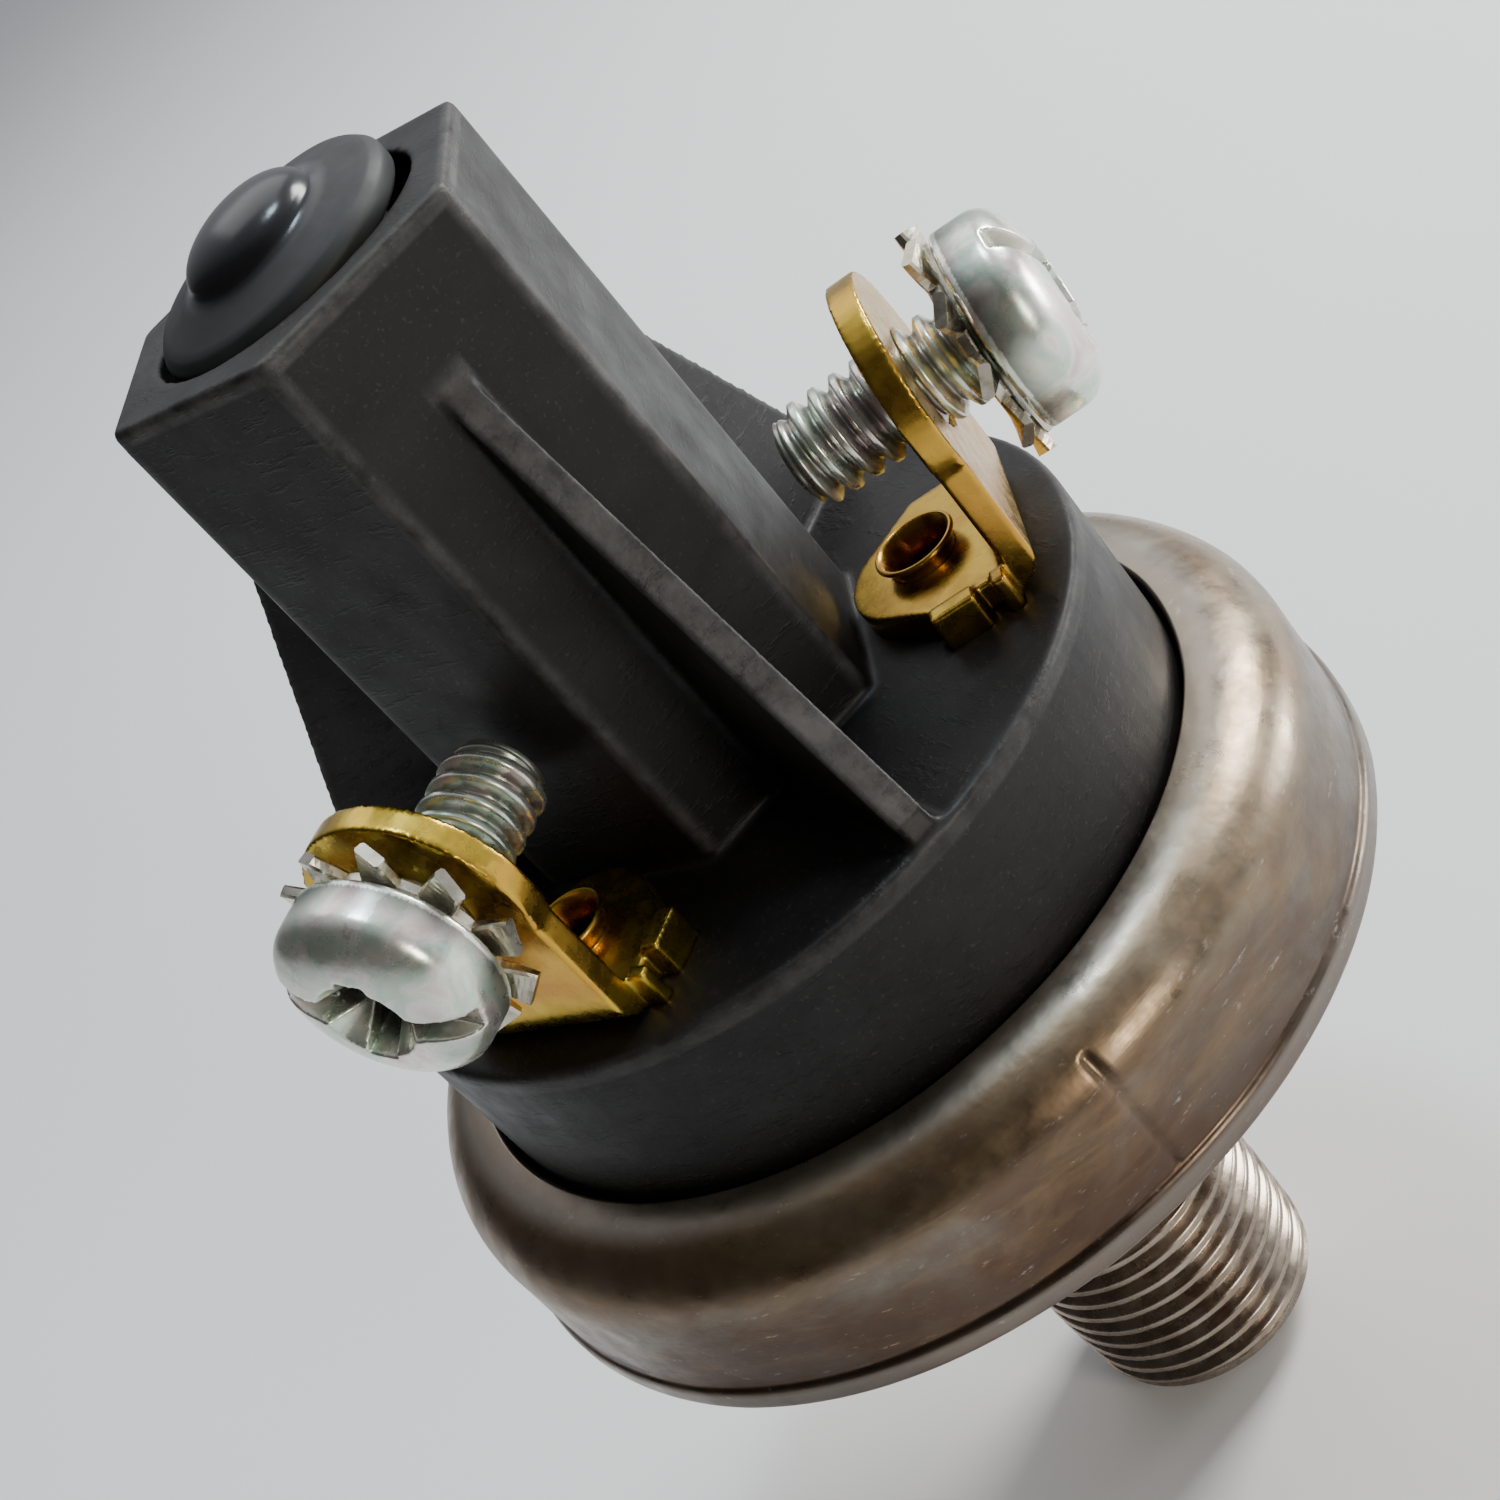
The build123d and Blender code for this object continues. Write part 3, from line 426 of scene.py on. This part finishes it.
def rounded(profile, radius, steps=4):
    """The open profile with each inner corner rounded to about this radius."""
    out = [profile[0]]
    for before, here, after in zip(profile, profile[1:], profile[2:]):
        a, b, c = Vector(before), Vector(here), Vector(after)
        cut = min(radius, 0.45 * (a - b).length, 0.45 * (c - b).length)
        p, q = b + (a - b).normalized() * cut, b + (c - b).normalized() * cut
        for i in range(steps + 1):
            t = i / steps
            out.append(tuple(p * (1 - t) ** 2 + b * (2 * t * (1 - t)) + q * t * t))
    out.append(profile[-1])
    return out


def fine(profile, step):
    """The profile with long runs divided."""
    out = [profile[0]]
    for a, b in zip(profile, profile[1:]):
        n = max(1, int(hypot(b[0] - a[0], b[1] - a[1]) / step))
        out += [(a[0] + (b[0] - a[0]) * i / n, a[1] + (b[1] - a[1]) * i / n) for i in range(1, n + 1)]
    return out


def ellipse(center, radius_along, radius_out, start, end, steps):
    """Points of an elliptical arc as (along, radius), angle 0 pointing outward."""
    out = []
    for i in range(steps + 1):
        a = radians(start + (end - start) * i / steps)
        out.append((center[0] + radius_along * sin(a), center[1] + radius_out * cos(a)))
    return out


def tooth_wave(phase):
    """Height from 0 at the root to 1 at the crest of a worn 60 degree thread, phase in turns."""
    t = abs((phase % 1.0) - 0.5) * 2
    return min(1.0, max(0.0, (t - 0.08) / 0.64))


def remesh(source, name, voxel_mm, passes):
    """A softened copy of a CAD solid, with every edge rounded a little as in a moulding or stamping."""
    mesh = source.data.copy()
    mesh.name = name
    obj = bpy.data.objects.new(name + "_work", mesh)
    bpy.context.collection.objects.link(obj)
    grid = obj.modifiers.new("grid", "REMESH")
    grid.mode = "VOXEL"
    grid.voxel_size = voxel_mm * MM
    ease = obj.modifiers.new("ease", "SMOOTH")
    ease.iterations = passes
    ease.factor = 0.5
    result = bpy.data.meshes.new_from_object(obj.evaluated_get(bpy.context.evaluated_depsgraph_get()))
    result.name = name
    bpy.data.objects.remove(obj)
    return result


def outward(azimuth, height_mm):
    """Local Z along a terminal screw, local X up."""
    a = radians(azimuth)
    z = Vector((cos(a), sin(a), 0))
    x = Vector((0, 0, 1))
    y = z.cross(x)
    turn = Matrix((x, y, z)).transposed().to_4x4()
    return Matrix.Translation((0, 0, height_mm * MM)) @ turn


UPRIGHT = Matrix.Identity(4)

# ---------------------------------------------------------------- port fitting with a helical thread
PITCH = 25.4 / 27
HEX_HALF = 25.4 * 9 / 32


def port_shift(angle, along, radius):
    if 1.0 < along < 11.2 and radius > 4.3:
        crest = min(4.993 + along / 32, 5.1435)
        fade = min(1.0, (along - 1.0) / 0.5, (11.2 - along) / 0.6)
        wave = tooth_wave(along / PITCH - angle / (2 * pi))
        return along, crest - 0.42 + fade * 0.42 * wave - (1 - fade) * 0.15
    if 13.4 <= along <= 20.6 and radius > 6.8:
        flat = HEX_HALF / cos(((angle / radians(60)) % 1.0 - 0.5) * radians(60))
        cone = HEX_HALF + 0.15 + (along - 13.4) / tan(radians(30))
        return along, min(flat, cone, 8.22) - (radius < 7.0) * 0.25
    return along, radius


thread_rows = [(1.0 + 10.2 * i / 150, 4.9) for i in range(151)]
port_profile = (
    [(24.1, 2.0), (0.5, 2.0), (0.12, 2.35), (0.0, 2.55), (0.0, 3.85), (0.12, 4.1), (0.6, 4.38)]
    + thread_rows
    + [(11.3, 4.4), (13.3, 4.4), (13.4, 4.6), (13.4, 6.5)]
    + [(13.4 + 7.2 * i / 40, 7.6) for i in range(41)]
    + [(20.62, 8.3), (20.8, 8.4), (22.9, 8.4), (22.9, 16.7), (25.1, 16.7), (25.1, 11.5), (24.2, 11.5), (24.2, 2.0)]
)
port = lathe("port_fitting_turned", port_profile, UPRIGHT, 192, port_shift)
set_surface_mask(port, lambda x, y, z: 0.0)
put(port, "port_fitting_turned", "switch_body", "fitting_steel", ["port_fitting"])

# ---------------------------------------------------------------- clamp shell
SEAM_ANGLE = radians(-95)


def shell_shift(angle, along, radius):
    """A shallow seam line on the front, and the slight waviness of a rolled edge."""
    swing = (angle - SEAM_ANGLE + pi) % (2 * pi) - pi
    seam = 0.2 * max(0.0, 1 - abs(swing) * 18.0 / 0.22) if radius > 16.8 and 23.2 < along < 28.0 else 0.0
    wave = 0.02 * sin(5 * angle + along) + 0.012 * sin(11 * angle + 1.3)
    return along, radius - seam - abs(wave)


shell_out = fine(
    [(22.9, 17.0), (22.9, 11.1), (22.85, 11.0), (21.97, 11.0), (21.9, 11.07), (21.9, 17.6)], 0.8
)
shell_out += ellipse((22.25, 17.85), 0.35, 0.35, -90, 0, 5) + ellipse((22.65, 17.85), 0.4, 0.35, 0, 62, 5)
shell_out += [(23.15, 17.98)] + fine([(23.3, 17.99), (26.3, 18.0)], 0.3)
shell_out += ellipse((26.4, 15.05), 2.64, 2.95, 2, 84, 26)
shell_out += ellipse((28.55, 14.95), 0.5, 0.2, 84, 180, 8)
shell_out += ellipse((26.4, 15.05), 1.65, 1.95, 88, 0, 12) + [(26.0, 17.0), (22.9, 17.0)]
shell = lathe("clamp_shell_pressed", shell_out, UPRIGHT, 720, shell_shift)
# Painted highlight lines on the rolled bottom edge and the top of the lip.
set_surface_mask(
    shell,
    lambda x, y, z: 0.35 - abs(z - 22.5) / 1.3 if z < 23.0 and hypot(x, y) > 17.7 else
    max(0.0, 1 - abs(z - 28.95) / 0.25) * 0.5,
)
put(shell, "clamp_shell_pressed", "switch_body", "shell_steel", ["clamp_shell"])

# ---------------------------------------------------------------- housing
TOWER_HALF = 6.35
FIN_AZIMUTHS = (-90, 30, 150)


def housing_edge_wear_and_highlight(x, y, z):
    """Lighter plastic on the tower's corners and top edge, the fin ridges and the floor rim: partly rubbed wear, partly
    painted highlight.
    """
    r = hypot(x, y)
    edge_wear_and_highlight = 0.0
    if z > 35.6:
        for k in range(6):
            a = radians(60 * k)
            away = hypot(x - 7.15 * cos(a), y - 7.15 * sin(a))
            edge_wear_and_highlight = max(edge_wear_and_highlight, 0.8 - abs(away - 0.15) / 0.3)
        right_side_shade = max(x * cos(radians(60 * k + 30)) + y * sin(radians(60 * k + 30)) for k in range(6))
        if z > 56.0 and right_side_shade > 5.9:
            edge_wear_and_highlight = max(edge_wear_and_highlight, 0.8 - abs(right_side_shade - 6.3) / 0.4)
    for azimuth in FIN_AZIMUTHS:
        a = radians(azimuth)
        along = x * cos(a) + y * sin(a)
        across = -x * sin(a) + y * cos(a)
        ridge = 14.3 - (z - 35.3) * (14.3 - 6.25) / (52.6 - 35.3)
        if 36.0 < z < 53.0 and along > 6.2 and abs(across) < 0.8:
            edge_wear_and_highlight = max(edge_wear_and_highlight, 0.8 - abs(along - ridge) / 0.35)
    if 34.6 < z < 35.5:
        edge_wear_and_highlight = max(edge_wear_and_highlight, 0.55 - abs(r - 14.5) / 0.35)
    return edge_wear_and_highlight


housing = remesh(frame["nodes"]["housing"], "housing_moulded", 0.13, 4)
set_surface_mask(housing, housing_edge_wear_and_highlight)
put(housing, "housing_moulded", "switch_body", "housing_plastic", ["housing"])

# ---------------------------------------------------------------- plug
plug_place = (
    Matrix.Translation((0, 0, 56.4 * MM))
    @ Matrix.Rotation(radians(30), 4, "Z")
    @ Matrix.Rotation(radians(-8), 4, "Y")
)
plug_lo, plug_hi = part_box("plug_cap")
PLUG_DOME = 1.15
plug_profile = rounded(
    [(-1.6, 0.0), (-1.6, 2.2), (-2.0, 2.3), (-2.0, 3.1), (-1.7, 3.3), (0.0, 3.3), (0.0, 4.6), (0.62, 4.65), (0.9, 4.4)],
    0.15,
)
plug_profile += [(0.98 + 0.42 * t, 4.3 - 1.5 * t) for t in (0.0, 0.2, 0.4, 0.6, 0.8, 1.0)] + [(1.52, 2.58)]
plug_profile += [
    (1.4 + PLUG_DOME * sin(radians(a)) ** 0.95, 2.5 * cos(radians(a)) ** 0.9) for a in range(10, 90, 6)
] + [(1.4 + PLUG_DOME, 0.0)]
plug = lathe("plug_cap_moulded", plug_profile, plug_place, 96)
inverse = plug_place.inverted()


def plug_rim(x, y, z):
    local = inverse @ Vector((x * MM, y * MM, z * MM)) / MM
    return min(1.0, max(0.0, (hypot(local.x, local.y) - 2.7) / 0.4))


set_surface_mask(plug, plug_rim)
put(plug, "plug_cap_moulded", "plug", "plug_plastic", ["plug_cap"])

# ---------------------------------------------------------------- terminals
SCREW_Z = 41.6
SCREW_R = 1.7526
SCREW_PITCH = 25.4 / 32
BRACKET_FACE = 13.2
GAPS = {"right": 1.5, "left": 0.4}
LOCK_T = 0.95
SCREW_LEN = 7.4
HEAD_R = 3.55


def screw_mesh(name, place, turn):
    """A pan head with a slot and a cross recess, and a rolled helical thread. Local Z is 0 under the head."""

    def shank_shift(angle, along, radius):
        if -SCREW_LEN + 0.2 < along < -0.3 and radius > 1.2:
            fade = min(1.0, (along + SCREW_LEN - 0.2) / 0.4, (-0.3 - along) / 0.3)
            wave = tooth_wave(along / SCREW_PITCH - angle / (2 * pi))
            return along, SCREW_R - 0.42 + 0.42 * wave * fade
        return along, radius

    rows = 110
    shank = [(-SCREW_LEN, 0.0), (-SCREW_LEN, 1.1), (-SCREW_LEN + 0.15, 1.32)]
    shank += [(-SCREW_LEN + 0.2 + (SCREW_LEN - 0.45) * i / rows, 1.5) for i in range(rows + 1)]
    shank += [(0.2, 1.35), (0.2, 0)]
    body = lathe(name, shank, place, 64, shank_shift)
    crown = [(0.0, 0.0), (0.0, HEAD_R - 0.15), (0.12, HEAD_R - 0.02), (1.1, HEAD_R - 0.03)]
    crown += [
        (1.15 + 1.53 * sin(radians(a)) ** 0.85, (HEAD_R - 0.03) * cos(radians(a)) ** 0.8) for a in range(5, 90, 5)
    ] + [(2.68, 0.0)]
    head = lathe(name + "_head", crown, place, 96)
    tool = bmesh.new()
    for size, depth in (((9.0, 1.1), 1.1), ((4.1, 1.2), 1.75), ((1.2, 4.1), 1.75)):
        for v in bmesh.ops.create_cube(tool, size=1.0)["verts"]:
            taper = 1.0 if v.co.z > 0 else 0.72
            v.co = Vector((v.co.x * size[0] * (taper if size[0] < 6 else 1), v.co.y * size[1] * taper, v.co.z * 4))
            v.co.z += 2.68 - depth + 2.0
            v.co *= MM
    bmesh.ops.create_cone(
        tool, cap_ends=True, segments=32, radius1=0.45 * MM, radius2=1.75 * MM, depth=1.9 * MM,
        matrix=Matrix.Translation((0, 0, (2.68 - 1.75 + 0.95) * MM)),
    )
    tool.transform(place @ Matrix.Rotation(radians(turn), 4, "Z"))
    cutter_mesh = bpy.data.meshes.new("cutter")
    tool.to_mesh(cutter_mesh)
    tool.free()
    cutter = bpy.data.objects.new("cutter", cutter_mesh)
    work = bpy.data.objects.new("work", head)
    for o in (cutter, work):
        bpy.context.collection.objects.link(o)
    cut = work.modifiers.new("cut", "BOOLEAN")
    cut.object = cutter
    cut.operation = "DIFFERENCE"
    cut.solver = "EXACT"
    cut.use_self = True
    grid = work.modifiers.new("grid", "REMESH")
    grid.mode = "VOXEL"
    grid.voxel_size = 0.07 * MM
    ease = work.modifiers.new("ease", "SMOOTH")
    ease.iterations = 3
    made = bpy.data.meshes.new_from_object(work.evaluated_get(bpy.context.evaluated_depsgraph_get()))
    bpy.data.objects.remove(work)
    bpy.data.objects.remove(cutter)
    joined = bmesh.new()
    joined.from_mesh(body)
    joined.from_mesh(made)
    joined.to_mesh(body)
    joined.free()
    local = place.inverted()

    # Darker by depth in the head's recess, and at the thread roots.
    def recess_and_root_darkening(x, y, z):
        p = local @ Vector((x * MM, y * MM, z * MM)) / MM
        if p.z > 0.3:
            level = 1.15 + 1.53 * sqrt(max(0.0, 1 - (p.x * p.x + p.y * p.y) / HEAD_R**2))
            return (level - p.z - 0.3) / 0.7
        return 0.8 if p.z < -1 and hypot(p.x, p.y) < SCREW_R - 0.22 else 0.0

    set_surface_mask(body, recess_and_root_darkening)
    return body


def washer_ring(name, outer, inner_r, base, thick, place, cup=0.0):
    """A washer whose outline is outer(angle) in millimetres, with rolled edges and a slight dish."""
    count, rows = 160, []
    ring = [(0.0, 0.25), (0.0, 0.75), (0.06, 0.97), (0.2, 1.0), (0.8, 1.0), (0.94, 0.97), (1.0, 0.75), (1.0, 0.25), (1.0, 0.0), (0.0, 0.0)]
    for up, out in ring:
        row = []
        for j in range(count):
            angle = 2 * pi * j / count
            r = inner_r + (outer(angle) - inner_r) * out
            dish = cup * ((r - inner_r) / 3.0) ** 2
            row.append(place @ Vector((r * MM * cos(angle), r * MM * sin(angle), (base + up * thick + dish) * MM)))
        rows.append(row)
    mesh = weld(grid_mesh(name, rows, closed_rows=True))
    set_surface_mask(mesh, lambda x, y, z: 0.0)
    return mesh


def lock_mesh(name, place, base):
    """An external-tooth lock washer: a ring with ten twisted teeth."""
    bm = bmesh.new()
    ring = washer_ring(name, lambda angle: 2.95, 1.8, base + 0.225, 0.5, place)
    bm.from_mesh(ring)
    for k in range(10):
        spine = Matrix.Rotation(radians(36 * k + 9), 4, "Z")
        rows = []
        for i in range(9):
            t = i / 8
            reach, twist = 2.6 + 1.44 * t, radians(-25) * max(0.0, t - 0.15) / 0.85
            half_w, half_t = 0.62 - 0.05 * t - 0.1 * max(0.0, t - 0.8), 0.24 - 0.05 * t
            row = []
            for u, v in ((-1, -0.6), (-0.85, -1), (0, -1), (0.85, -1), (1, -0.6), (1, 0.6), (0.85, 1), (0, 1), (-0.85, 1), (-1, 0.6)):
                y, z = u * half_w, v * half_t
                y, z = y * cos(twist) - z * sin(twist), y * sin(twist) + z * cos(twist)
                row.append(place @ spine @ Vector((reach * MM, y * MM, (base + LOCK_T / 2 + z) * MM)))
            rows.append(row)
        tooth = grid_mesh("tooth", rows)
        start, last = len(bm.verts), len(tooth.vertices) - 10
        bm.from_mesh(tooth)
        bm.verts.ensure_lookup_table()
        bm.faces.new([bm.verts[start + last + 9 - i] for i in range(10)])
        bm.faces.new([bm.verts[start + i] for i in range(10)])
    bmesh.ops.recalc_face_normals(bm, faces=bm.faces)
    mesh = bpy.data.meshes.new(name)
    bm.to_mesh(mesh)
    bm.free()
    set_surface_mask(mesh, lambda x, y, z: 0.0)
    return mesh


EYELET_REACH = 9.7
for right_side_shade, azimuth in (("right", -30), ("left", -150)):
    place = outward(azimuth, SCREW_Z)
    a = radians(azimuth)
    eyelet_place = Matrix.Translation((EYELET_REACH * MM * cos(a), EYELET_REACH * MM * sin(a), 0))

    bracket = remesh(frame["nodes"]["terminal_bracket_" + right_side_shade], "terminal_bracket_" + right_side_shade + "_stamped", 0.09, 4)
    set_surface_mask(bracket, lambda x, y, z: 0.0)
    put(bracket, bracket.name, "switch_body", "terminal_brass", ["terminal_bracket_" + right_side_shade])

    profile = rounded([(36.0, 0.9), (32.0, 0.9), (32.0, 1.88), (32.4, 1.88), (32.4, 1.2), (36.45, 1.2), (36.7, 1.36)], 0.1)
    profile += ellipse((36.88, 1.4), 0.1, 0.095, -50, 120, 8) + [(36.88, 1.26), (36.6, 1.12), (36.35, 0.98), (36.0, 0.9)]
    eyelet = lathe("terminal_eyelet_" + right_side_shade + "_rolled", profile, eyelet_place, 64)
    set_surface_mask(
        eyelet,
        lambda x, y, z: 1.0 if hypot(x - EYELET_REACH * cos(a), y - EYELET_REACH * sin(a)) < 1.16 and z < 36.8 else 0.0,
    )
    put(eyelet, eyelet.name, "switch_body", "terminal_brass", ["terminal_eyelet_" + right_side_shade])

    base = BRACKET_FACE + GAPS[right_side_shade]
    name = "lock_washer_" + right_side_shade + "_toothed"
    put(lock_mesh(name, place, base), name, "washer_" + right_side_shade, "washer_zinc", ["lock_washer_" + right_side_shade], False)
    name = "terminal_screw_" + right_side_shade + "_rolled"
    head_place = place @ Matrix.Translation((0, 0, (base + LOCK_T) * MM))
    screw = screw_mesh(name, head_place, 64 if right_side_shade == "left" else 20)
    put(screw, name, "screw_" + right_side_shade, "screw_zinc", ["terminal_screw_" + right_side_shade])

# ---------------------------------------------------------------- range spring, which the adjuster squeezes
spring = frame["nodes"]["range_spring"].data.copy()
spring.name = "range_spring_coiled"
set_surface_mask(spring, lambda x, y, z: 0.0)
coil = put(spring, "range_spring_coiled", "piston", "spring_steel", ["range_spring"])
for vertex in coil.data.vertices:
    vertex.co.z = 29.2 * MM + (vertex.co.z - 29.2 * MM) * (14.8 - 0.4) / 14.8
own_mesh(coil)

# ---------------------------------------------------------------- carried-over CAD nodes
slot_of = {s["node"]: s["material_slot"] for s in frame["record"]["subparts"]}
for name, node in frame["nodes"].items():
    node.data.materials.clear()
    node.data.materials.append(FINISHES[slot_of[name]])
